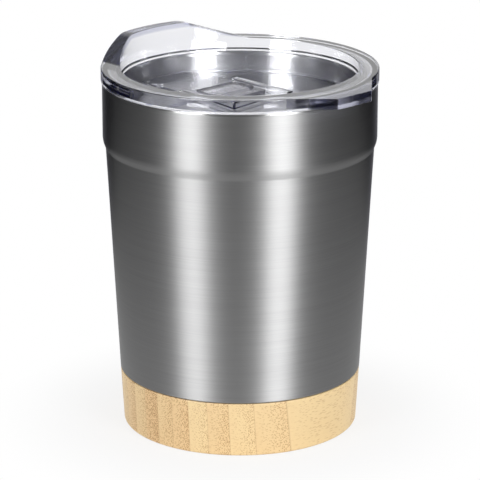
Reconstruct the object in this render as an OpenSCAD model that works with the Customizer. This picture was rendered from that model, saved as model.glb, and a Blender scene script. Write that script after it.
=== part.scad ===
// Double-walled steel tumbler on a turned bamboo base, with a clear press-in lid that has a raised
// drinking lip, a thumb tab opposite and a sliding closure over the sip slot.
// The axis of the cup is Z, the table is z = 0, and the drinking lip stands towards +Y.

/* [Steel body] */
// Height of the steel rim above the table
rim_z = 110.1; // [105:0.1:120]
// Outer radius of the collar
collar_r = 42.6; // [41:0.1:45]
// Height of the collar, from the rim down to the step
collar_h = 18.3; // [12:0.1:30]
// Height of the step between the collar and the tapered wall
step_h = 2.4; // [2:0.1:8]
// How far the wall steps in below the collar
step_in = 0.9; // [0.4:0.1:1.4]
// Radius that rounds the collar into the step
step_top_round = 6.5; // [0.5:0.1:8]
// Radius that rounds the step into the wall
step_foot_round = 2; // [0.5:0.1:4]
// Outer radius of the tapered wall where it meets the base
wall_foot_r = 37.85; // [36.5:0.05:39]
// Radius of the wall's bottom edge
foot_round = 0.5; // [0.2:0.1:1]
// Thickness of the steel sheet
steel_t = 0.6; // [0.4:0.05:0.8]

/* [Inner cup] */
// Vacuum gap between the two walls at the mouth
mouth_gap = 2.4; // [1.8:0.1:3]
// Vacuum gap between the two walls at the neck's shoulder
neck_gap = 0.8; // [0.6:0.1:2]
// Height of the inner cup's floor above the table
cup_floor_z = 11.6; // [10.5:0.1:14]
// Radius between the inner cup's wall and its floor
cup_round = 10; // [4:0.5:15]
// Radius of the rolled lip
lip_round = 3; // [2:0.1:3.4]
// Radius of the lip's outer edge
lip_edge = 0.25; // [0.1:0.05:0.3]

/* [Vacuum closure] */
// Radius of the dimple in the bottom cap
dimple_r = 7; // [5:0.5:10]
// Height of the dimple
dimple_h = 1.3; // [0.8:0.1:2]
// Radius of the sealing bead
bead_r = 3.2; // [2:0.1:4]
// Thickness of the sealing bead
bead_t = 1.1; // [0.6:0.1:1.5]
// Radius of the getter tablet
getter_r = 4; // [3:0.5:5]
// Thickness of the getter tablet
getter_t = 1.4; // [1:0.1:2]
// Distance of the getter tablet from the axis
getter_x = 17; // [14:0.5:20]

/* [Bamboo base] */
// Height of the bamboo base
base_h = 17.3; // [14:0.1:22]
// How much narrower the base is at the table than at its top
base_taper = 1; // [0:0.1:2]
// Radial step from the steel wall in to the bamboo
base_inset = 0.05; // [0:0.05:0.3]
// Thickness of the bamboo ring round the neck
base_wall_t = 3.8; // [3:0.1:5]
// Thickness of the bamboo under the steel
base_floor_t = 5.6; // [4:0.1:8]
// Radius of the bamboo's edge at the table
base_edge = 0.8; // [0.3:0.1:1.5]
// Radius of the bamboo's top edges
base_top_edge = 0.3; // [0.1:0.1:0.5]
// Radial play between the neck and the socket
base_fit = 0.2; // [0.1:0.05:0.4]
// Open joint between the bamboo and the steel shoulder
base_joint = 0.2; // [0.1:0.05:0.4]
// Thickness of the adhesive under the steel
glue_t = 0.4; // [0.2:0.1:0.8]
// Distance of the adhesive ring in from the neck's wall
glue_set = 3.8; // [2:0.1:8]
// Width of the adhesive ring
glue_w = 16; // [8:0.5:18]

/* [Lid] */
// Height of the lid's flange above the steel rim
flange_t = 4.4; // [3:0.1:6]
// How far the flange stands out past the collar
flange_over = 0.35; // [0.1:0.05:0.8]
// Radius of the flange's lower edge
flange_edge = 0.5; // [0.2:0.1:0.8]
// Radius of the top edges of the flange and of the drinking lip's crest
top_edge = 0.3; // [0.1:0.05:0.6]
// Depth of the well below the flange's top
well_depth = 10.7; // [9.5:0.1:14]
// How much narrower the well is at its floor
well_draft = 1.35; // [0.5:0.05:2]
// Radius between the well's wall and floor
well_round = 0.6; // [0.3:0.1:1]
// Thickness of the lid's wall at the flange
lid_wall_t = 1.25; // [1:0.05:2]
// Radial gap between the plug and the cup's mouth
plug_gap = 0.9; // [0.6:0.05:1.2]
// Height of the plug's foot below the seal's groove
plug_foot_h = 0.7; // [0.6:0.1:1.2]
// Radius of the plug's lower edge
plug_edge = 0.3; // [0.2:0.05:0.3]

/* [Drinking lip] */
// Height of the drinking lip above the flange
hump_h = 5.4; // [3:0.1:8]
// Width of the lip's level crest
hump_crest_w = 24; // [16:0.5:32]
// Width of the lip at its foot
hump_foot_w = 56.3; // [44:0.1:60]
// Radius that rounds the crest into the ramps, and the ramps into the flange
hump_round = 14; // [4:0.5:16]
// Radial thickness of the lip at its crest
hump_t = 3.9; // [2.5:0.1:5]

/* [Thumb tab] */
// Distance of the tab's tip from the axis
tab_reach = 49.5; // [46:0.1:53]
// Width of the tab's tip
tab_tip_w = 14.4; // [10:0.1:20]
// Width of the tab where it leaves the flange
tab_root_w = 36.3; // [30:0.1:44]
// Thickness of the tab
tab_t = 3.3; // [2:0.1:4]
// Radius of the tab's corners
tab_round = 1; // [0.4:0.1:3]

/* [Sip slot and vent] */
// Width of the curved sip slot
sip_w = 5; // [4.6:0.1:5.5]
// Floor left between the slot and the well's wall
sip_wall = 2.2; // [1.8:0.1:3]
// Half of the angle that the slot spans, to the centres of its ends
sip_half_angle = 12; // [8:0.5:13]
// Radius of the vent hole
vent_r = 1.2; // [0.8:0.1:2]
// Distance of the vent hole from the axis
vent_y = 29; // [26:0.5:31]

/* [Slider] */
// Length of the slider
slider_l = 36; // [33:0.5:38]
// Thickness of the slider's plate
slider_t = 1.3; // [1.2:0.1:2]
// Travel of the slider from closed to open
slider_travel = 8; // [7.5:0.1:10]
// Gap between the closed slider's nose and the well's wall
nose_gap = 0.6; // [0.4:0.1:0.8]
// Corner radius at the slider's back
slider_tail = 2; // [1:0.5:5]
// Play round the slider
slider_fit = 0.15; // [0.1:0.05:0.3]
// Wall of the slider beside its seal pad
pad_wall = 1.3; // [0.8:0.1:2]
// Width of the grip
grip_w = 17; // [12:0.5:18]
// Length of the grip
grip_l = 11.5; // [9:0.5:13]
// Distance from the slider's back to the grip
grip_set = 2; // [1:0.5:4]
// Height of the grip above the plate
grip_h = 1; // [0.8:0.1:2]
// Corner radius of the grip
grip_round = 3; // [1:0.5:4]
// Height of the ribs on the grip
rib_h = 0.3; // [0.2:0.05:0.6]
// Number of ribs on the grip
rib_count = 9; // [3:1:12]
// Thickness of the guide rails
rail_t = 1.3; // [1:0.1:2]
// Length of the guide rails
rail_l = 25; // [20:0.5:30]
// How far the rails reach over the slider
rail_lip = 1.2; // [0.6:0.1:1.4]
// Thickness of the rails' overhanging lips
rail_lip_t = 0.8; // [0.6:0.1:1.2]

/* [Seals] */
// Height of the lid seal
seal_h = 1.5; // [1.2:0.1:2]
// Depth of the groove for the lid seal
seal_groove = 1; // [0.6:0.05:1.1]
// Play between the lid seal's fin and the cup
seal_fit = 0.15; // [0.1:0.05:0.3]
// Thickness of the fin at its tip
fin_t = 0.45; // [0.3:0.05:0.6]
// Thickness of the slider's seal pad
pad_t = 0.8; // [0.5:0.1:0.9]
// How far the pad reaches past the slot
pad_past = 0.8; // [0.4:0.1:1]

/* [Hidden] */
$fn = 96;
// Steps of one rounded corner
arc_steps = 7;
// Share of an edge that a rounded corner may take
edge_share = 0.49;
// Overrun of a cut past the faces that it opens
over = 0.5;
// Play of a seal in its seat
seat_play = 0.05;

// Steel levels and radii
seam_z = rim_z - steel_t;
collar_foot_z = rim_z - collar_h;
wall_top_z = collar_foot_z - step_h;
wall_top_r = collar_r - step_in;
base_top_r = wall_foot_r - base_inset;
socket_r = base_top_r - base_wall_t;
neck_r = socket_r - base_fit;
glue_r = neck_r - glue_set;
shoulder_z = base_h + base_joint;
cap_foot_z = base_floor_t + glue_t;
cap_top_z = cap_foot_z + steel_t;
mouth_r = collar_r - steel_t - mouth_gap - steel_t;

// Lid levels and radii
flange_r = collar_r + flange_over;
flange_top_z = rim_z + flange_t;
plug_r = mouth_r - plug_gap;
well_top_r = plug_r - lid_wall_t;
well_floor_r = well_top_r - well_draft;
well_floor_z = flange_top_z - well_depth;
hump_top_z = flange_top_z + hump_h;
// The seal lies in the edge of the lid's floor, and so gives the floor its thickness
groove_top_z = well_floor_z;
groove_foot_z = groove_top_z - seal_h;
groove_r = plug_r - seal_groove;
plug_foot_z = groove_foot_z - plug_foot_h;
lid_floor_t = well_floor_z - plug_foot_z;
// The mouth stays straight as far below the plug as the plug reaches into it
straight_z = 2 * plug_foot_z - rim_z;
// Below that the cup tapers, past the neck's shoulder, to its floor
neck_pass_r = neck_r - steel_t - neck_gap - steel_t;
cup_taper = (mouth_r - neck_pass_r) / (straight_z - shoulder_z);
cup_foot_r = mouth_r - cup_taper * (straight_z - cup_floor_z);

// Slider levels and places, with the slider closed
sip_r = well_floor_r - sip_wall - sip_w / 2;
pad_end_r = sip_w / 2 + pad_past;
pad_foot_z = well_floor_z + seat_play;
pad_top_z = pad_foot_z + pad_t;
nose_r = well_floor_r - nose_gap;
slider_w = 2 * (sip_r * sin(sip_half_angle) + pad_end_r + pad_wall);
slider_foot_z = well_floor_z + slider_fit;
slider_top_z = slider_foot_z + slider_t;
slider_back_y = nose_r - slider_l;
rail_x = slider_w / 2 + slider_fit;
rail_lip_z = slider_top_z + slider_fit;
rail_top_z = rail_lip_z + rail_lip_t;
rail_back_y = slider_back_y - slider_travel - slider_fit - rail_t;

function unit(v) = v / norm(v);

// The turn from angle a to angle b by the shorter way
function turn(a, b) = let (d = b - a) d > 180 ? d - 360 : d < -180 ? d + 360 : d;

// The points of one corner of an outline, rounded by r as far as its edges allow
function corner(before, here, after, r) =
    r <= 0 ? [here] :
    let (u = unit(before - here),
         v = unit(after - here),
         half = acos(u * v) / 2,
         room = edge_share * min(norm(before - here), norm(after - here)),
         reach = min(r / tan(half), room),
         fit_r = reach * tan(half),
         middle = here + unit(u + v) * fit_r / sin(half),
         from = here + u * reach - middle,
         to = here + v * reach - middle,
         start = atan2(from[1], from[0]),
         sweep = turn(start, atan2(to[1], to[0])))
    [for (k = [0:arc_steps])
        middle + fit_r * [cos(start + sweep * k / arc_steps), sin(start + sweep * k / arc_steps)]];

// A closed outline from corners given as [x, y, radius]
function rounded(c) =
    let (n = len(c), p = [for (q = c) [q[0], q[1]]])
    [for (i = [0:n - 1]) each corner(p[(i + n - 1) % n], p[i], p[(i + 1) % n], c[i][2])];

// A solid of revolution about Z from corners given as [radius, height, corner radius]
module turned(corners) {
    rotate_extrude() polygon(rounded(corners));
}

// A plate between two heights, from corners given as [x, y, corner radius]
module plate(corners, foot_z, top_z) {
    translate([0, 0, foot_z]) linear_extrude(top_z - foot_z) polygon(rounded(corners));
}

// Spun outer wall: collar, rolled step, tapered wall, shoulder and the neck inside the base
module outer_shell() {
    color("#85878a") turned([
        [collar_r, seam_z, 0],
        [collar_r, collar_foot_z, step_top_round],
        [wall_top_r, wall_top_z, step_foot_round],
        [wall_foot_r, shoulder_z, foot_round],
        [neck_r, shoulder_z, foot_round],
        [neck_r, cap_top_z, 0],
        [neck_r - steel_t, cap_top_z, 0],
        [neck_r - steel_t, shoulder_z + steel_t, foot_round],
        [wall_foot_r - steel_t, shoulder_z + steel_t, foot_round],
        [wall_top_r - steel_t, wall_top_z, step_foot_round],
        [collar_r - steel_t, collar_foot_z, step_top_round],
        [collar_r - steel_t, seam_z, 0]]);
}

// Deep-drawn inner cup, whose rolled lip lies on the outer wall's edge
module inner_cup() {
    color("#9b9c9e") turned([
        [0, cup_floor_z, 0],
        [cup_foot_r, cup_floor_z, cup_round],
        [mouth_r, straight_z, 0],
        [mouth_r, rim_z, lip_round],
        [collar_r, rim_z, lip_edge],
        [collar_r, seam_z, 0],
        [mouth_r + steel_t, seam_z, lip_round - steel_t],
        [mouth_r + steel_t, straight_z, 0],
        [cup_foot_r + steel_t, cup_floor_z - steel_t, cup_round + steel_t],
        [0, cup_floor_z - steel_t, 0]]);
}

// Pressed disc that closes the vacuum below, with a dimple for the evacuation hole
module bottom_cap() {
    color("#7d7f82") turned([
        [0, cap_foot_z + dimple_h, 0],
        [dimple_r - steel_t, cap_foot_z + dimple_h, steel_t],
        [dimple_r, cap_foot_z, steel_t],
        [neck_r, cap_foot_z, 0],
        [neck_r, cap_top_z, 0],
        [dimple_r + steel_t, cap_top_z, steel_t],
        [dimple_r, cap_top_z + dimple_h, steel_t],
        [0, cap_top_z + dimple_h, 0]]);
}

// Bead of solder that seals the evacuation hole from below
module sealing_bead() {
    bead_top_z = cap_foot_z + dimple_h;
    color("#5e6266") turned([
        [0, bead_top_z - bead_t, 0],
        [bead_r, bead_top_z - bead_t, bead_t / 2],
        [bead_r, bead_top_z, 0],
        [0, bead_top_z, 0]]);
}

// Tablet that binds the last gas in the vacuum
module getter_tablet() {
    color("#4c4e50") translate([getter_x, 0, cap_top_z]) cylinder(r = getter_r, h = getter_t);
}

// Ring of adhesive between the bottom cap and the bamboo
module base_adhesive() {
    color("#d8d2b8") turned([
        [glue_r - glue_w, base_floor_t, 0],
        [glue_r, base_floor_t, 0],
        [glue_r, cap_foot_z, 0],
        [glue_r - glue_w, cap_foot_z, 0]]);
}

// Turned bamboo base with a socket for the neck
module bamboo_base() {
    color("#e3bd84") turned([
        [0, 0, 0],
        [base_top_r - base_taper, 0, base_edge],
        [base_top_r, base_h, base_top_edge],
        [socket_r, base_h, base_top_edge],
        [socket_r, base_floor_t, 0],
        [0, base_floor_t, 0]]);
}

// Flange, well and plug of the lid, all turned
module lid_bowl() {
    turned([
        [0, well_floor_z, 0],
        [well_floor_r, well_floor_z, well_round],
        [well_top_r, flange_top_z, top_edge],
        [flange_r, flange_top_z, top_edge],
        [flange_r, rim_z, flange_edge],
        [plug_r, rim_z, 0],
        [plug_r, groove_top_z, 0],
        [groove_r, groove_top_z, 0],
        [groove_r, groove_foot_z, 0],
        [plug_r, groove_foot_z, 0],
        [plug_r, plug_foot_z, plug_edge],
        [0, plug_foot_z, 0]]);
}

// Drinking lip: a ring that leans out from the well, cut to a crest with two ramps that run out
// below the rounded edges of the flange
module drinking_lip() {
    foot_z = flange_top_z - top_edge;
    intersection() {
        turned([
            [well_top_r, flange_top_z, 0],
            [well_top_r, foot_z - over, 0],
            [flange_r, foot_z - over, 0],
            [flange_r, hump_top_z, top_edge],
            [flange_r - hump_t, hump_top_z, top_edge]]);
        rotate([90, 0, 180]) linear_extrude(flange_r + over) polygon(rounded([
            [-flange_r, foot_z - over, 0],
            [flange_r, foot_z - over, 0],
            [flange_r, foot_z, 0],
            [hump_foot_w / 2, foot_z, hump_round],
            [hump_crest_w / 2, hump_top_z, hump_round],
            [-hump_crest_w / 2, hump_top_z, hump_round],
            [-hump_foot_w / 2, foot_z, hump_round],
            [-flange_r, foot_z, 0]]));
    }
}

// Thumb tab, level with the flange's top, whose sides run on inside the flange
module thumb_tab() {
    tip = [tab_tip_w / 2, -tab_reach];
    root = [tab_root_w / 2, -sqrt(pow(flange_r, 2) - pow(tab_root_w / 2, 2))];
    inside = root + unit(root - tip) * (flange_r - plug_r);
    difference() {
        plate([
            [-inside[0], inside[1], 0],
            [-tip[0], tip[1], tab_round],
            [tip[0], tip[1], tab_round],
            [inside[0], inside[1], 0]], flange_top_z - tab_t, flange_top_z);
        cylinder(r = plug_r, h = flange_top_z + over);
    }
}

// L-shaped rail beside the slider, at the side given as -1 or 1
module rail(side) {
    translate([0, rail_back_y, 0]) mirror([side < 0 ? 1 : 0, 0, 0]) rotate([90, 0, 180])
        mirror([1, 0, 0]) linear_extrude(rail_l) polygon([
            [rail_x, well_floor_z - over],
            [rail_x + rail_t, well_floor_z - over],
            [rail_x + rail_t, rail_top_z],
            [rail_x - rail_lip, rail_top_z],
            [rail_x - rail_lip, rail_lip_z],
            [rail_x, rail_lip_z]]);
}

// Stop behind the open slider
module slider_stop() {
    translate([-rail_x - rail_t, rail_back_y, well_floor_z - over])
        cube([2 * (rail_x + rail_t), rail_t, slider_top_z - well_floor_z + over]);
}

// Curved slot that drinks are sipped through, or the outline of its cover when made larger by grow
module slot_shape(grow, foot_z, top_z) {
    end_r = sip_w / 2 + grow;
    translate([0, 0, foot_z]) {
        rotate([0, 0, 90 - sip_half_angle]) rotate_extrude(angle = 2 * sip_half_angle)
            translate([sip_r - end_r, 0]) square([2 * end_r, top_z - foot_z]);
        for (side = [-1, 1])
            rotate([0, 0, 90 + side * sip_half_angle]) translate([sip_r, 0, 0])
                cylinder(r = end_r, h = top_z - foot_z);
    }
}

// Clear moulded lid
module lid_body() {
    color("#dfe2ec", 0.5) difference() {
        union() {
            lid_bowl();
            drinking_lip();
            thumb_tab();
            rail(-1);
            rail(1);
            slider_stop();
        }
        slot_shape(0, plug_foot_z - over, well_floor_z + over);
        translate([0, -vent_y, plug_foot_z - over])
            cylinder(r = vent_r, h = lid_floor_t + 2 * over);
    }
}

// Silicone ring in the plug's groove, with a fin that bears on the cup
module lid_seal() {
    seal_r = mouth_r - seal_fit;
    foot_z = groove_foot_z + seat_play;
    top_z = groove_top_z - seat_play;
    fin_z = (foot_z + top_z - fin_t) / 2;
    color("#e9eaec") rotate_extrude() polygon([
        [groove_r + seat_play, foot_z],
        [plug_r, foot_z],
        [seal_r, fin_z],
        [seal_r, fin_z + fin_t],
        [plug_r, top_z],
        [groove_r + seat_play, top_z]]);
}

// Grip seen from the side: sloping ends and a row of ribs across its top
module grip_side() {
    level_l = grip_l - 2 * grip_h;
    pitch = level_l / rib_count;
    crests = [for (i = [0:rib_count - 1], k = [0:arc_steps])
        [grip_h + pitch * (i + k / arc_steps),
         grip_h - rib_h + rib_h * sin(180 * k / arc_steps)]];
    polygon(concat([[0, -over], [0, 0]], crests, [[grip_l, 0], [grip_l, -over]]));
}

// Clear slider: a plate under the rails, whose nose follows the well's wall, and a ribbed grip
module slider() {
    grip_back_y = slider_back_y + grip_set;
    color("#d3d7e4", 0.6) {
        difference() {
            intersection() {
                plate([
                    [-slider_w / 2, slider_back_y, slider_tail],
                    [slider_w / 2, slider_back_y, slider_tail],
                    [slider_w / 2, well_floor_r, 0],
                    [-slider_w / 2, well_floor_r, 0]], slider_foot_z, slider_top_z);
                cylinder(r = nose_r, h = flange_top_z);
            }
            slot_shape(pad_past + seat_play, slider_foot_z - over, pad_top_z);
        }
        intersection() {
            translate([-grip_w / 2, grip_back_y, slider_top_z])
                rotate([90, 0, 90]) linear_extrude(grip_w) grip_side();
            plate([
                [-grip_w / 2, grip_back_y, grip_round],
                [grip_w / 2, grip_back_y, grip_round],
                [grip_w / 2, grip_back_y + grip_l, grip_round],
                [-grip_w / 2, grip_back_y + grip_l, grip_round]],
                slider_top_z - over, slider_top_z + grip_h + over);
        }
    }
}

// Silicone pad in a pocket under the slider's nose, which lies over the slot
module slider_seal() {
    color("#e9eaec") slot_shape(pad_past, pad_foot_z, pad_top_z);
}

outer_shell();
inner_cup();
bottom_cap();
sealing_bead();
getter_tablet();
base_adhesive();
bamboo_base();
lid_body();
lid_seal();
slider();
slider_seal();
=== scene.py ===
"""Looks of a double-walled steel tumbler on a bamboo base, with a clear lid that has a drinking lip.

Lengths are in metres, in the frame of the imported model. The cup's axis is Z and the table is z = 0. The
drinking lip stands towards +Y, and the thumb tab towards -Y.
"""

import logging
import math
from dataclasses import dataclass
from enum import Enum
from typing import Any, Dict, List, Mapping, Optional, Sequence, Tuple, Union

import bpy
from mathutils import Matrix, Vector

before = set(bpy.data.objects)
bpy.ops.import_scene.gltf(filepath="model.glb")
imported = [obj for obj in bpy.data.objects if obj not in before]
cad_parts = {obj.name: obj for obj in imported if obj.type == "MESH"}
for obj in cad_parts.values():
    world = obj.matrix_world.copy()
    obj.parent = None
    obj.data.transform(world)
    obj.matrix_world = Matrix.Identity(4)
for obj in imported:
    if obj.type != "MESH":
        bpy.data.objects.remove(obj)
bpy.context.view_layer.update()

Colour = Tuple[float, float, float]
Direction = Tuple[float, float, float]
Point = Tuple[float, float, float]
Face = Sequence[int]
Feed = Union[float, Sequence[float], "Wire"]

MM = 0.001
WHITE: Colour = (1.0, 1.0, 1.0)
TO_PLUS_X: Direction = (1.0, 0.0, 0.0)
TO_TAB: Direction = (0.0, -1.0, 0.0)
UP: Direction = (0.0, 0.0, 1.0)

log = logging.getLogger("tumbler")


def opaque(colour: Colour) -> Tuple[float, float, float, float]:
    """Gives a colour its alpha of 1.

    Args:
        colour: linear red, green and blue.

    Returns:
        The same colour with alpha.
    """
    return (colour[0], colour[1], colour[2], 1.0)


def shade(colour: Colour, share: float) -> Colour:
    """Darkens or lightens a colour.

    Args:
        colour: linear red, green and blue.
        share: what each channel is multiplied by.

    Returns:
        The new colour.
    """
    return (colour[0] * share, colour[1] * share, colour[2] * share)


class Wire:
    """An output of a node tree, on which shader maths is written as plain expressions."""

    def __init__(self, graph: "Graph", socket: bpy.types.NodeSocket) -> None:
        """Wraps one output socket of a graph."""
        self.graph = graph
        self.socket = socket

    def __add__(self, other: Feed) -> "Wire":
        """Adds a value."""
        return self.graph.maths("ADD", self, other)

    __radd__ = __add__

    def __sub__(self, other: Feed) -> "Wire":
        """Subtracts a value."""
        return self.graph.maths("SUBTRACT", self, other)

    def __rsub__(self, other: Feed) -> "Wire":
        """Subtracts this value from another."""
        return self.graph.maths("SUBTRACT", other, self)

    def __mul__(self, other: Feed) -> "Wire":
        """Multiplies by a value."""
        return self.graph.maths("MULTIPLY", self, other)

    __rmul__ = __mul__

    def __truediv__(self, other: Feed) -> "Wire":
        """Divides by a value."""
        return self.graph.maths("DIVIDE", self, other)

    def __rtruediv__(self, other: Feed) -> "Wire":
        """Divides another value by this one."""
        return self.graph.maths("DIVIDE", other, self)

    def __pow__(self, other: Feed) -> "Wire":
        """Raises to a power."""
        return self.graph.maths("POWER", self, other)

    def __rpow__(self, other: Feed) -> "Wire":
        """Raises another value to this power."""
        return self.graph.maths("POWER", other, self)

    def also(self, output: str) -> "Wire":
        """Gives another output of the same node."""
        return Wire(self.graph, self.socket.node.outputs[output])

    def size(self) -> "Wire":
        """Drops the value's sign."""
        return self.graph.maths("ABSOLUTE", self)

    def floor(self) -> "Wire":
        """Rounds down to a whole number."""
        return self.graph.maths("FLOOR", self)

    def clamp(self) -> "Wire":
        """Keeps the value between 0 and 1."""
        return self.graph.maths("MAXIMUM", self.graph.maths("MINIMUM", self, 1.0), 0.0)

    def step(self, low: Feed, high: Feed) -> "Wire":
        """Rises smoothly from 0 to 1.

        Args:
            low: the value at which the result leaves 0.
            high: the value at which the result reaches 1.

        Returns:
            The smooth step.
        """
        return self.graph.node(
            "ShaderNodeMapRange",
            {"interpolation_type": "SMOOTHSTEP"},
            {"Value": self, "From Min": low, "From Max": high},
        )


class Graph:
    """Makes the nodes of one material or world."""

    def __init__(self, tree: bpy.types.NodeTree) -> None:
        """Starts with an empty tree."""
        self.tree = tree
        tree.nodes.clear()

    def node(
        self,
        kind: str,
        settings: Optional[Mapping[str, Any]] = None,
        sockets: Optional[Mapping[Union[str, int], Feed]] = None,
        output: Union[str, int] = 0,
    ) -> Wire:
        """Adds one node.

        Args:
            kind: the node's type.
            settings: what is set on the node itself, before its sockets are. The name stops stands for a
                ramp's places and values.
            sockets: the value or link of each input socket.
            output: which output is given back.

        Returns:
            The chosen output, or the node's first input where it has no output.
        """
        made = self.tree.nodes.new(kind)
        for name, value in (settings or {}).items():
            if name == "stops":
                self.stops(made.color_ramp, value)
            else:
                setattr(made, name, value)
        for key, value in (sockets or {}).items():
            if isinstance(value, Wire):
                self.tree.links.new(value.socket, made.inputs[key])
            else:
                made.inputs[key].default_value = value
        return Wire(self, made.outputs[output] if made.outputs else made.inputs[0])

    def stops(self, ramp: bpy.types.ColorRamp, places: Sequence[Tuple[float, float]]) -> None:
        """Gives a ramp its steps.

        Args:
            ramp: the ramp, with the two stops that it starts with.
            places: the place and the grey value of each step.
        """
        ramp.interpolation = "CONSTANT"
        while len(ramp.elements) < len(places):
            ramp.elements.new(0.5)
        for element, (place, value) in zip(ramp.elements, places):
            element.position = place
            element.color = opaque((value, value, value))

    def maths(self, operation: str, *values: Feed) -> Wire:
        """Adds a Math node for the given values."""
        return self.node("ShaderNodeMath", {"operation": operation}, dict(enumerate(values)))

    def greater(self, first: Feed, second: Feed) -> Wire:
        """Gives the greater of two values."""
        return self.maths("MAXIMUM", first, second)

    def place(self) -> Wire:
        """Gives the place on the piece, in metres."""
        return self.node("ShaderNodeTexCoord", output="Object")

    def along(self, where: Wire, direction: Direction) -> Wire:
        """Measures a place along a direction."""
        return self.node(
            "ShaderNodeVectorMath", {"operation": "DOT_PRODUCT"}, {0: where, 1: direction}, "Value"
        )

    def length(self, where: Wire) -> Wire:
        """Measures how far a place is from the origin."""
        return self.node("ShaderNodeVectorMath", {"operation": "LENGTH"}, {0: where}, "Value")

    def stretched(self, where: Wire, factors: Sequence[float]) -> Wire:
        """Multiplies a place by one factor for each axis."""
        return self.node("ShaderNodeVectorMath", {"operation": "MULTIPLY"}, {0: where, 1: factors})

    def vector(self, x: Feed, y: Feed, z: Feed) -> Wire:
        """Joins three values into a vector."""
        return self.node("ShaderNodeCombineXYZ", sockets={"X": x, "Y": y, "Z": z})

    def noise(self, where: Wire, scale: float, detail: float, output: str = "Fac") -> Wire:
        """Adds a noise texture.

        Args:
            where: the place at which the noise is read.
            scale: how many waves there are to a metre.
            detail: how many finer waves are laid over the first.
            output: Fac for a value, or Color for three values.

        Returns:
            The noise.
        """
        return self.node(
            "ShaderNodeTexNoise", sockets={"Vector": where, "Scale": scale, "Detail": detail}, output=output
        )

    def tint(self, factor: Feed, below: Feed, above: Feed) -> Wire:
        """Mixes two colours.

        Args:
            factor: how much of the upper colour there is.
            below: the lower colour.
            above: the upper colour.

        Returns:
            The mixed colour.
        """
        return self.node(
            "ShaderNodeMix", {"data_type": "RGBA"}, {0: factor, 6: below, 7: above}, output=2
        )

    def bump(self, height: Wire, depth: float, strength: float, normal: Optional[Wire] = None) -> Wire:
        """Turns a height into a normal.

        Args:
            height: the relief, from 0 to 1.
            depth: how deep the relief is, in metres.
            strength: how much of the relief shows.
            normal: the normal that the relief is laid on, if it isn't the surface's own.

        Returns:
            The normal.
        """
        sockets: Dict[Union[str, int], Feed] = {"Strength": strength, "Distance": depth, "Height": height}
        if normal is not None:
            sockets["Normal"] = normal
        return self.node("ShaderNodeBump", sockets=sockets)

    def surface(self, sockets: Mapping[Union[str, int], Feed]) -> Wire:
        """Adds a Principled shader."""
        return self.node("ShaderNodeBsdfPrincipled", sockets=sockets)

    def glow(self, colour: Colour, level: float) -> Wire:
        """Adds a shader that gives light, where a level of 1 is white."""
        return self.node("ShaderNodeEmission", sockets={"Color": opaque(colour), "Strength": level})

    def blend(self, factor: Feed, first: Wire, second: Wire) -> Wire:
        """Mixes two shaders."""
        return self.node("ShaderNodeMixShader", sockets={0: factor, 1: first, 2: second})

    def seen(self) -> Wire:
        """Gives 1 for the rays that see the background directly, in metal or through glass."""
        path = self.node("ShaderNodeLightPath", output="Is Camera Ray")
        mirrored = self.greater(path.also("Is Glossy Ray"), path.also("Is Transmission Ray"))
        return self.greater(path, mirrored)


@dataclass(frozen=True)
class Finish:
    """A finish, which becomes one procedural material."""

    name: str

    def shader(self, graph: Graph) -> Wire:
        """Builds the surface's nodes."""
        raise NotImplementedError

    def inside(self, graph: Graph) -> Optional[Wire]:
        """Builds the nodes of what is inside, if light passes through it."""
        return None

    def material(self) -> bpy.types.Material:
        """Makes the finish's material.

        Returns:
            The new material.
        """
        made = bpy.data.materials.new(self.name)
        made.use_nodes = True
        graph = Graph(made.node_tree)
        sockets: Dict[Union[str, int], Feed] = {"Surface": self.shader(graph)}
        filling = self.inside(graph)
        if filling is not None:
            sockets["Volume"] = filling
        graph.node("ShaderNodeOutputMaterial", sockets=sockets)
        return made


@dataclass(frozen=True)
class BrushedSteel(Finish):
    """Steel that was brushed as it turned, so that its highlights stretch along its axis."""

    colour: Colour = (0.303, 0.303, 0.304)
    roughness: float = 0.5
    roughness_range: float = 0.12
    anisotropy: float = 0.9
    quarter_turn: float = 0.25
    line_length: float = 30.0 * MM
    line_pitch: float = 0.16 * MM
    line_detail: float = 3.0
    line_share: float = 0.65
    band_pitch: float = 2.2 * MM
    band_detail: float = 2.0
    contrast: float = 0.22
    relief: float = 0.004 * MM
    relief_strength: float = 0.5

    def rings(self, graph: Graph, where: Wire, pitch: float, detail: float) -> Wire:
        """Builds rings round the axis.

        Args:
            graph: the material's nodes.
            where: the place on the piece.
            pitch: how far the rings are apart, in metres.
            detail: how many finer waves are laid over them.

        Returns:
            The rings, from 0 to 1.
        """
        turn = 1.0 / self.line_length
        return graph.noise(graph.stretched(where, (turn, turn, 1.0 / pitch)), 1.0, detail)

    def shader(self, graph: Graph) -> Wire:
        """Builds fine rings of lighter and darker metal."""
        where = graph.place()
        lines = self.rings(graph, where, self.line_pitch, self.line_detail)
        bands = self.rings(graph, where, self.band_pitch, self.band_detail)
        grain = lines * self.line_share + bands * (1.0 - self.line_share)
        dark = opaque(shade(self.colour, 1.0 - self.contrast))
        light = opaque(shade(self.colour, 1.0 + self.contrast))
        return graph.surface({
            "Base Color": graph.tint(grain, dark, light),
            "Metallic": 1.0,
            "Roughness": self.roughness + (grain - 0.5) * self.roughness_range,
            "Anisotropic": self.anisotropy,
            "Anisotropic Rotation": self.quarter_turn,
            "Normal": graph.bump(lines, self.relief, self.relief_strength),
        })


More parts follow.
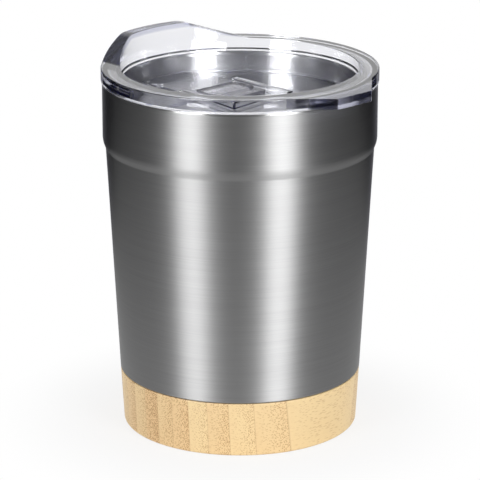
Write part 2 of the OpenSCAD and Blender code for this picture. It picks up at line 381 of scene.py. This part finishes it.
@dataclass(frozen=True)
class Mottled(Finish):
    """A dull, mottled surface of a hidden piece."""

    colour: Colour = (0.3, 0.3, 0.3)
    dark_share: float = 0.75
    metallic: float = 1.0
    roughness: float = 0.5
    roughness_range: float = 0.25
    speck: float = 1.0 * MM
    detail: float = 4.0
    relief: float = 0.02 * MM
    relief_strength: float = 0.6

    def shader(self, graph: Graph) -> Wire:
        """Builds the mottled surface."""
        spots = graph.noise(graph.place(), 1.0 / self.speck, self.detail)
        dark = opaque(shade(self.colour, self.dark_share))
        return graph.surface({
            "Base Color": graph.tint(spots, dark, opaque(self.colour)),
            "Metallic": self.metallic,
            "Roughness": self.roughness + (spots - 0.5) * self.roughness_range,
            "Normal": graph.bump(spots, self.relief, self.relief_strength),
        })


@dataclass(frozen=True)
class CuredAdhesive(Mottled):
    """Cured adhesive, cloudy and slightly uneven."""

    colour: Colour = (0.68, 0.62, 0.42)
    dark_share: float = 0.85
    metallic: float = 0.0
    roughness: float = 0.42
    roughness_range: float = 0.2
    speck: float = 3.0 * MM
    detail: float = 3.0
    relief: float = 0.05 * MM
    relief_strength: float = 0.5


@dataclass(frozen=True)
class LaminatedBamboo(Finish):
    """Bamboo strips glued side by side and turned, under a matt varnish.

    The fibres lie along one level direction. Faces across them show the dots of the cut fibre bundles, which
    crowd towards one side of each strip, and faces along them show long streaks.
    """

    outer_radius: float = 37.0 * MM
    strip_angle: float = -85.7
    strip_pitch: float = 5.74 * MM
    strip_offset: float = 11.9 * MM
    first_strip: int = -5
    tones: Tuple[float, ...] = (
        0.7, 0.4, 0.8, 0.3, 0.7, 0.35, 1.0, 0.6, 0.8, 0.0, 0.55, 0.15, 0.4, 0.1
    )
    tone_of_strip: float = 0.75
    tone_of_cloud: float = 0.5
    tone_shift: float = -0.1
    pale: Colour = (0.94, 0.735, 0.4)
    warm: Colour = (0.84, 0.585, 0.3)
    fibre: Colour = (0.43, 0.21, 0.07)
    glue: Colour = (0.56, 0.35, 0.17)
    dot_pitch: float = 0.42 * MM
    dot_crowding: float = 1.7
    dot_reach: float = 0.17
    dot_growth: float = 0.1
    dot_softness: float = 0.2
    dot_strength: float = 0.15
    dot_strength_of_strip: float = 0.35
    end_grain: float = 0.55
    strip_jump: float = 13.7
    streak_length: float = 3.0 * MM
    wobble: Tuple[float, float, float] = (0.5, 0.5, 0.2)
    wobble_scale: float = 0.6
    wobble_detail: float = 2.0
    cloud_scale: Tuple[float, float, float] = (2.0, 60.0, 25.0)
    cloud_detail: float = 3.0
    hairs_in_strip: float = 40.0
    hair_pitch: float = 0.16 * MM
    hair_length: float = 5.0 * MM
    hair_detail: float = 2.0
    hair_tint: float = 0.22
    seam: Tuple[float, float] = (0.03, 0.975)
    seam_tint: float = 0.5
    roughness: float = 0.5
    dot_roughness: float = 0.12
    varnish: float = 0.08
    varnish_of_hair: float = 0.08
    varnish_roughness: float = 0.35
    relief: float = 0.03 * MM
    relief_strength: float = 0.4

    def tone(self, graph: Graph, strip: Wire) -> Wire:
        """Gives each strip its own tone.

        Args:
            graph: the material's nodes.
            strip: the strip's whole number.

        Returns:
            The tone, from 0 for pale to 1 for warm.
        """
        strips = len(self.tones)
        steps = tuple((k / strips, tone) for k, tone in enumerate(self.tones))
        turn = (strip - self.first_strip + 0.5) / strips
        grey = graph.node("ShaderNodeValToRGB", {"stops": steps}, {"Fac": turn})
        return graph.node("ShaderNodeRGBToBW", sockets={"Color": grey})

    def bundles(self, graph: Graph, cells: Wire) -> Wire:
        """Measures how far a place is from the middle of the nearest fibre bundle.

        Args:
            graph: the material's nodes.
            cells: the place, in pitches of the bundles.

        Returns:
            The distance, in pitches.
        """
        sway = graph.noise(cells, self.wobble_scale, self.wobble_detail, "Color")
        shaken = graph.node(
            "ShaderNodeVectorMath", {"operation": "MULTIPLY_ADD"}, {0: sway, 1: self.wobble, 2: cells}
        )
        return graph.node("ShaderNodeTexVoronoi", sockets={"Vector": shaken, "Scale": 1.0})

    def shader(self, graph: Graph) -> Wire:
        """Builds the strips, their fibre bundles and the glue lines between them."""
        angle = math.radians(self.strip_angle)
        across = (math.cos(angle), math.sin(angle), 0.0)
        fibres = (-math.sin(angle), math.cos(angle), 0.0)
        where = graph.place()
        height = graph.along(where, UP)
        run = graph.along(where, fibres)
        count = (graph.along(where, across) + self.strip_offset) / self.strip_pitch
        strip = count.floor()
        share = count - strip
        luck = self.tone(graph, strip)

        cells = graph.vector(
            share ** self.dot_crowding * (self.strip_pitch / self.dot_pitch) + strip * self.strip_jump,
            height / self.dot_pitch,
            run / self.streak_length,
        )
        reach = share * self.dot_growth + luck * luck * self.dot_growth + self.dot_reach
        dots = 1.0 - self.bundles(graph, cells).step(reach, reach + self.dot_softness)
        strength = (share + luck * luck * self.dot_strength_of_strip + self.dot_strength).clamp()
        cut_across = (run.size() / self.outer_radius).clamp()
        depth = dots * strength * (cut_across * self.end_grain + (1.0 - self.end_grain))

        cloud_x, cloud_z, cloud_run = self.cloud_scale
        clouds = graph.vector(count * cloud_x, height * cloud_z, run * cloud_run)
        cloud = graph.noise(clouds, 1.0, self.cloud_detail)
        hairs = graph.vector(count * self.hairs_in_strip, height / self.hair_pitch, run / self.hair_length)
        hair = graph.noise(hairs, 1.0, self.hair_detail)
        warmth = (luck * self.tone_of_strip + cloud * self.tone_of_cloud + self.tone_shift).clamp()
        body = graph.tint(warmth, opaque(self.pale), opaque(self.warm))
        body = graph.tint(hair * self.hair_tint, body, opaque(self.fibre))
        body = graph.tint(depth, body, opaque(self.fibre))
        seam_end, seam_start = self.seam
        between = (share.step(0.0, seam_end) - share.step(seam_start, 1.0)).clamp()
        body = graph.tint((1.0 - between) * self.seam_tint, body, opaque(self.glue))
        return graph.surface({
            "Base Color": body,
            "Roughness": self.roughness + dots * self.dot_roughness,
            "Coat Weight": self.varnish + hair * self.varnish_of_hair,
            "Coat Roughness": self.varnish_roughness,
            "Normal": graph.bump(1.0 - depth, self.relief, self.relief_strength),
        })


@dataclass(frozen=True)
class ClearPlastic(Finish):
    """Clear moulded plastic with softened edges, which darkens where the light's way through it is long."""

    colour: Colour = (0.98, 0.982, 0.99)
    roughness: float = 0.015
    refraction: float = 1.52
    edge: float = 0.25 * MM
    edge_samples: int = 4
    depth_colour: Colour = (0.895, 0.90, 0.945)
    depth_density: float = 75.0
    haze: float = 0.005
    haze_colour: Colour = (0.1, 0.12, 0.6)
    # The satin parts are really rougher; their darker lavender-grey tint is painted shade.
    satin_painted_shade_colour: Colour = (0.52, 0.53, 0.66)
    satin_roughness: float = 0.2
    # Painted shade: a dark line on a cut edge, standing in for the darkness that the edge refracts.
    painted_shade_line_colour: Colour = (0.1, 0.1, 0.115)
    ripple: float = 5.0 * MM
    ripple_detail: float = 1.0
    relief: float = 0.004 * MM
    relief_strength: float = 0.3
    shadow_share: float = 0.93

    def satin_and_painted_shade(self, graph: Graph, where: Wire) -> Feed:
        """Gives 1 where the surface is satin and carries painted grey shade."""
        return 0.0

    def painted_shade_line(self, graph: Graph, where: Wire) -> Feed:
        """Gives 1 on an edge where a thin grey line of painted shade is laid."""
        return 0.0

    def shader(self, graph: Graph) -> Wire:
        """Builds the clear surface, which lets light through to what lies behind it."""
        where = graph.place()
        flow = graph.noise(where, 1.0 / self.ripple, self.ripple_detail)
        rounded = graph.node("ShaderNodeBevel", {"samples": self.edge_samples}, {"Radius": self.edge})
        satin_and_painted_shade = self.satin_and_painted_shade(graph, where)
        # Painted shade: the satin parts are tinted darker grey, while their extra roughness is the real
        # satin.
        colour = graph.tint(satin_and_painted_shade, opaque(self.colour), opaque(self.satin_painted_shade_colour))
        clear = graph.surface({
            # The dark line along an edge is painted shade.
            "Base Color": graph.tint(self.painted_shade_line(graph, where), colour, opaque(self.painted_shade_line_colour)),
            "Roughness": satin_and_painted_shade * (self.satin_roughness - self.roughness) + self.roughness,
            "IOR": self.refraction,
            "Transmission Weight": 1.0,
            "Normal": graph.bump(flow, self.relief, self.relief_strength, rounded),
        })
        milk = graph.node("ShaderNodeBsdfDiffuse", sockets={"Color": opaque(self.haze_colour)})
        filtered = opaque(shade(self.colour, self.shadow_share))
        through = graph.node("ShaderNodeBsdfTransparent", sockets={"Color": filtered})
        shadow = graph.node("ShaderNodeLightPath", output="Is Shadow Ray")
        return graph.blend(shadow, graph.blend(self.haze, clear, milk), through)

    def inside(self, graph: Graph) -> Optional[Wire]:
        """Builds the faint tint of the plastic."""
        return graph.node(
            "ShaderNodeVolumeAbsorption",
            sockets={"Color": opaque(self.depth_colour), "Density": self.depth_density},
            output="Volume",
        )


@dataclass(frozen=True)
class LidPlastic(ClearPlastic):
    """The lid's plastic, which is satin on the thumb tab and along the drinking lip's cut edge, with painted
    grey shade there, and with a painted dark shade line on one ramp's edge.
    """

    tab_reach: float = 43.2 * MM
    crest_z: float = 119.9 * MM
    crest_half: float = 12.0 * MM
    ramp_half: float = 28.15 * MM
    ramp_h: float = 5.4 * MM
    foot_share: float = 0.2
    edge_depth: float = 1.3 * MM
    painted_shade_line_depth: float = 0.8 * MM
    depth_fade: float = 0.3
    side_fade: float = 1.0 * MM

    def near_edge(self, graph: Graph, where: Wire, reach: float) -> Wire:
        """Gives 1 within a depth below the lip's crest and ramps, and 0 on the flange.

        Args:
            graph: the material's nodes.
            where: the place on the lid.
            reach: the depth below the edge, in metres.

        Returns:
            The mask, from 0 to 1.
        """
        height = graph.along(where, UP)
        side = graph.along(where, TO_PLUS_X).size()
        ramp = ((side - self.crest_half) / (self.ramp_half - self.crest_half)).clamp()
        depth = self.crest_z - ramp * self.ramp_h - height
        foot_z = self.crest_z - self.ramp_h
        above_flange = height.step(foot_z, foot_z + self.foot_share * self.ramp_h)
        below_edge = depth.step(reach * (1.0 - self.depth_fade), reach * (1.0 + self.depth_fade))
        return (1.0 - below_edge) * above_flange

    def satin_and_painted_shade(self, graph: Graph, where: Wire) -> Feed:
        """Gives 1 on the tab and close below the lip's crest and ramps, which are satin and carry painted
        grey shade.
        """
        on_tab = graph.along(where, TO_TAB).step(self.tab_reach, self.tab_reach + self.side_fade)
        return graph.greater(on_tab, self.near_edge(graph, where, self.edge_depth))

    def painted_shade_line(self, graph: Graph, where: Wire) -> Feed:
        """Gives 1 on the edge of the ramp that runs down towards +X, where the line of painted shade is
        laid.
        """
        on_ramp = graph.along(where, TO_PLUS_X).step(self.crest_half, self.crest_half + self.side_fade)
        return on_ramp * self.near_edge(graph, where, self.painted_shade_line_depth)


@dataclass(frozen=True)
class ClearSilicone(ClearPlastic):
    """Soft translucent silicone."""

    colour: Colour = (0.93, 0.935, 0.94)
    roughness: float = 0.22
    refraction: float = 1.41
    edge: float = 0.1 * MM
    depth_density: float = 160.0


class Metal(Enum):
    """The finishes of the steel pieces and what is soldered or placed on them."""

    WALL = BrushedSteel("steel_brushed_wall")
    CUP = BrushedSteel(
        "steel_brushed_cup", colour=(0.43, 0.43, 0.43), roughness=0.31, contrast=0.05, relief=0.001 * MM
    )
    CAP = Mottled("steel_plain_sheet", colour=(0.42, 0.42, 0.42), roughness=0.4)
    SOLDER = Mottled("solder_dull", colour=(0.4, 0.41, 0.42), roughness=0.45)
    GETTER = Mottled("getter_sintered", colour=(0.14, 0.14, 0.145), roughness=0.8, speck=0.4 * MM)


class Filler(Enum):
    """The finishes of the base and what holds it on."""

    BAMBOO = LaminatedBamboo("bamboo_laminated")
    ADHESIVE = CuredAdhesive("adhesive_cured")


class Clear(Enum):
    """The finishes of what is clear."""

    LID = LidPlastic("plastic_clear_lid")
    SLIDER = ClearPlastic("plastic_frosted_slider", colour=(0.8, 0.8, 0.82), roughness=0.2, edge=0.4 * MM)
    SILICONE = ClearSilicone("silicone_clear")


def give_finish(node: str, finish: Enum) -> None:
    """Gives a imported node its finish.

    Args:
        node: the node's name.
        finish: the member that holds the finish.
    """
    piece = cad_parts[node]
    name = finish.value.name
    material = bpy.data.materials.get(name) or finish.value.material()
    piece.data.materials.clear()
    piece.data.materials.append(material)
    log.info("%s has the finish %s", node, name)


@dataclass
class SteelBody:
    """The double-walled steel cup with what closes its vacuum."""

    def dress(self) -> None:
        """Dresses the walls, the cap, the sealing bead and the getter."""
        give_finish("outer_shell", Metal.WALL)
        give_finish("inner_cup", Metal.CUP)
        give_finish("bottom_cap", Metal.CAP)
        give_finish("sealing_bead", Metal.SOLDER)
        give_finish("getter_tablet", Metal.GETTER)


@dataclass
class Base:
    """The turned bamboo base and the adhesive that holds it."""

    def dress(self) -> None:
        """Dresses the bamboo and the adhesive."""
        give_finish("bamboo_base", Filler.BAMBOO)
        give_finish("base_adhesive", Filler.ADHESIVE)


@dataclass
class Lid:
    """The clear lid and its seal."""

    def dress(self) -> None:
        """Dresses the lid and its seal."""
        give_finish("lid_body", Clear.LID)
        give_finish("lid_seal", Clear.SILICONE)


@dataclass
class Closure:
    """The slider over the sip slot and its pad."""

    def dress(self) -> None:
        """Dresses the slider and its pad."""
        give_finish("slider", Clear.SLIDER)
        give_finish("slider_seal", Clear.SILICONE)


@dataclass(frozen=True)
class PaleFloor(Finish):
    """Pale matt floor, which turns into the white background and keeps the object's soft shadow."""

    colour: Colour = (0.8, 0.8, 0.8)
    roughness: float = 0.9
    near: float = 36.0 * MM
    far: float = 85.0 * MM
    least: float = 0.8

    def shader(self, graph: Graph) -> Wire:
        """Builds the floor's lit surface and the white that it turns into."""
        radius = graph.length(graph.stretched(graph.place(), (1.0, 1.0, 0.0)))
        lit = graph.surface({
            "Base Color": opaque(self.colour),
            "Roughness": self.roughness,
            "Specular IOR Level": 0.0,
        })
        share = radius.step(self.near, self.far) * (1.0 - self.least) + self.least
        return graph.blend(share * graph.seen(), lit, graph.glow(WHITE, 1.0))


@dataclass(frozen=True)
class Glow(Finish):
    """Even light of a studio card."""

    colour: Colour = WHITE
    level: float = 0.2

    def shader(self, graph: Graph) -> Wire:
        """Builds the even light."""
        return graph.glow(self.colour, self.level)


@dataclass
class SoftBox:
    """A tall soft box that stands beside the camera and faces the cup's axis."""

    name: str
    azimuth: float
    matt: float
    gloss: float
    width: float = 0.36
    height: float = 1.3
    foot: float = 0.02
    distance: float = 0.9
    gap: float = 0.03
    upright: float = 90.0

    def lamp(self, name: str, radiance: float, away: float) -> bpy.types.Object:
        """Makes one lamp in the soft box.

        Args:
            name: the lamp's name.
            radiance: how bright its face is, where white is 1.
            away: how far it stands from the cup's axis.

        Returns:
            The lamp's object.
        """
        lamp = bpy.data.lights.new(name, "AREA")
        lamp.shape = "RECTANGLE"
        lamp.size = self.width
        lamp.size_y = self.height
        lamp.energy = radiance * math.pi * self.width * self.height
        made = bpy.data.objects.new(name, lamp)
        bpy.context.scene.collection.objects.link(made)
        angle = math.radians(self.azimuth)
        made.location = (away * math.sin(angle), -away * math.cos(angle), self.foot + self.height / 2)
        made.rotation_euler = (math.radians(self.upright), 0.0, angle)
        made.visible_camera = False
        log.info("%s stands at azimuth %.1f", name, self.azimuth)
        return made

    def build(self) -> None:
        """Makes the lamp that lights matt surfaces and the one that metal and glass show."""
        self.lamp(self.name + "_matt", self.matt, self.distance + self.gap).visible_glossy = False
        self.lamp(self.name + "_gloss", self.gloss, self.distance).visible_diffuse = False


@dataclass
class PhotoCamera:
    """The camera, which looks down on the cup with the drinking lip at the back on the left."""

    azimuth: float = -43.5
    elevation: float = 17.32
    distance: float = 0.93
    aim_height: float = 58.2 * MM
    lens: float = 222.3

    def build(self) -> None:
        """Makes the camera and makes it the scene's own."""
        turn = math.radians(self.azimuth)
        rise = math.radians(self.elevation)
        level = self.distance * math.cos(rise)
        aim = Vector((0.0, 0.0, self.aim_height))
        stand = aim + Vector(
            (level * math.sin(turn), -level * math.cos(turn), self.distance * math.sin(rise))
        )
        data = bpy.data.cameras.new("photo_camera")
        data.lens = self.lens
        made = bpy.data.objects.new("photo_camera", data)
        bpy.context.scene.collection.objects.link(made)
        made.location = stand
        made.rotation_euler = (aim - stand).to_track_quat("-Z", "Y").to_euler()
        bpy.context.scene.camera = made
        log.info("the camera stands %.2f m away", self.distance)


@dataclass
class Studio:
    """The floor, the dark room with a white backdrop, the lamps and the world.

    The angles of the soft boxes are measured from the camera, and the half angles of the walls from the
    camera's side or, for the backdrop and the wings, from the side that it looks at.
    """

    camera: PhotoCamera
    left_azimuth: float = -42.0
    right_azimuth: float = 35.0
    left_matt: float = 2.6
    right_matt: float = 3.9
    left_gloss: float = 10.1
    right_gloss: float = 11.4
    floor_radius: float = 0.215
    room_radius: float = 1.5
    room_foot: float = -0.6
    room_top: float = 1.9
    wall_colour: Colour = (0.86, 0.87, 1.0)
    front_level: float = 0.025
    side_level: float = 0.03
    wing_level: float = 0.45
    skirting_level: float = 0.25
    above_level: float = 0.3
    below_level: float = 0.03
    front_half_angle: float = 60.0
    backdrop_half_angle: float = 26.0
    wing_half_angle: float = 15.0
    ambient: float = 0.6
    steps: int = 96

    def build(self) -> None:
        """Makes the floor, the room, the soft boxes and the world."""
        self.floor()
        self.room()
        left = self.camera.azimuth + self.left_azimuth
        right = self.camera.azimuth + self.right_azimuth
        SoftBox("softbox_left", left, self.left_matt, self.left_gloss).build()
        SoftBox("softbox_right", right, self.right_matt, self.right_gloss).build()
        self.world()
        bpy.context.scene.view_settings.view_transform = "Standard"

    def mesh(
        self, name: str, points: Sequence[Point], faces: Sequence[Face], finish: Finish
    ) -> bpy.types.Object:
        """Makes one piece of the studio.

        Args:
            name: the piece's name.
            points: its corners.
            faces: the corners of each face.
            finish: its finish.

        Returns:
            The piece's object.
        """
        data = bpy.data.meshes.new(name)
        data.from_pydata(points, [], faces)
        data.materials.append(finish.material())
        made = bpy.data.objects.new(name, data)
        bpy.context.scene.collection.objects.link(made)
        log.info("%s is a piece of the studio", name)
        return made

    def ring(self, radius: float, height: float) -> List[Point]:
        """Gives the points of a level circle."""
        turn = 2 * math.pi / self.steps
        return [
            (radius * math.cos(k * turn), radius * math.sin(k * turn), height) for k in range(self.steps)
        ]

    def floor(self) -> None:
        """Makes the round floor under the object."""
        self.mesh("floor", self.ring(self.floor_radius, 0.0), [range(self.steps)], PaleFloor("floor_pale"))

    def card(
        self,
        name: str,
        points: Sequence[Point],
        faces: Sequence[Face],
        colour: Colour,
        level: float,
        in_glass: bool = True,
    ) -> None:
        """Makes one card that only metal and glass show.

        Args:
            name: the card's name.
            points: its corners.
            faces: the corners of each face.
            colour: its colour.
            level: how bright it is.
            in_glass: whether it shows through what is clear.
        """
        made = self.mesh(name, points, faces, Glow(name, colour, level))
        made.visible_camera = False
        made.visible_diffuse = False
        made.visible_shadow = False
        made.visible_transmission = in_glass

    def room(self) -> None:
        """Makes the dark walls that metal reflects, open where the white backdrop is."""
        points = self.ring(self.room_radius, self.room_foot) + self.ring(self.room_radius, self.room_top)
        level_points = points[:self.steps] + self.ring(self.room_radius, 0.0)
        front = math.radians(self.camera.azimuth - 90.0)
        front_walls: List[Face] = []
        side_walls: List[Face] = []
        skirting: List[Face] = []
        wings: List[Face] = []
        for k in range(self.steps):
            away = math.cos((k + 0.5) * 2 * math.pi / self.steps - front)
            after = (k + 1) % self.steps
            wall = (k, after, after + self.steps, k + self.steps)
            if away > math.cos(math.radians(self.front_half_angle)):
                front_walls.append(wall)
            elif away > -math.cos(math.radians(self.backdrop_half_angle)):
                side_walls.append(wall)
            else:
                skirting.append(wall)
                if away > -math.cos(math.radians(self.wing_half_angle)):
                    wings.append(wall)
        below = [range(self.steps)]
        above = [range(self.steps, 2 * self.steps)]
        self.card("room_front", points, front_walls, self.wall_colour, self.front_level)
        self.card("room_sides", points, side_walls, self.wall_colour, self.side_level)
        self.card("room_above", points, above, WHITE, self.above_level)
        self.card("room_below", points, below, self.wall_colour, self.below_level, in_glass=False)
        self.card("skirting", level_points, skirting, WHITE, self.skirting_level, in_glass=False)
        self.card("wings", points, wings, self.wall_colour, self.wing_level, in_glass=False)

    def world(self) -> None:
        """Makes the background white where it is seen, and an even sky for matt surfaces."""
        made = bpy.data.worlds.new("studio_world")
        made.use_nodes = True
        graph = Graph(made.node_tree)
        colour = graph.tint(graph.seen(), opaque(shade(WHITE, self.ambient)), opaque(WHITE))
        light = graph.node("ShaderNodeBackground", sockets={"Color": colour, "Strength": 1.0})
        graph.node("ShaderNodeOutputWorld", sockets={"Surface": light})
        bpy.context.scene.world = made
        log.info("the world is the white background")


def main() -> None:
    """Builds the object's looks, the camera and the studio."""
    logging.basicConfig(level=logging.INFO, format="%(name)s: %(message)s")
    for assembly in (SteelBody(), Base(), Lid(), Closure()):
        assembly.dress()
        log.info("%s is dressed", type(assembly).__name__)
    camera = PhotoCamera()
    camera.build()
    Studio(camera).build()


if __name__ == "__main__":
    main()
